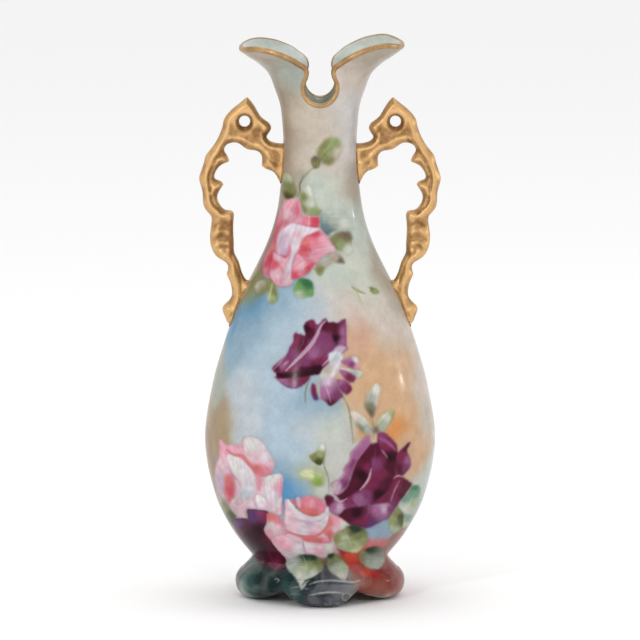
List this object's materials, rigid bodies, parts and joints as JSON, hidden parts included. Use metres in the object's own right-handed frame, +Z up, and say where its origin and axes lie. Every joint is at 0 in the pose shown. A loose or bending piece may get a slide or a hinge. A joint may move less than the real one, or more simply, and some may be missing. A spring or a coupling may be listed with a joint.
{
  "type": "flower vase",
  "caption": "Tall bottle-shaped porcelain flower vase with a split flared mouth, pierced gilt scroll handles and a scrolled foot.",
  "frame": {"origin": "on the ground under the middle of the body", "axes": "+Z up the body, handles along X, front at -Y"},
  "size_m": [0.138, 0.1318, 0.3218],
  "materials": {
    "painted_porcelain": "hand-painted overglaze enamel under a clear gloss, roses on blended grounds",
    "rim_gold": "worn matt gilding on the cut edge of the mouth",
    "handle_gold": "porcelain covered all over in matt antique gold, burnished on its high points",
    "foot_enamel": "glossy marbled teal, grey and rust-red enamel"
  },
  "bodies": {
    "root": {"belly_shell": "painted_porcelain", "neck_shell": "painted_porcelain", "mouth_lips": "painted_porcelain", "rim_gilding": "rim_gold", "foot": "foot_enamel", "foot_lute_ring": "foot_enamel", "handle_left": "handle_gold", "handle_right": "handle_gold", "lute_left_upper": "handle_gold", "lute_left_lower": "handle_gold", "lute_right_upper": "handle_gold", "lute_right_lower": "handle_gold"}
  },
  "joints": []
}
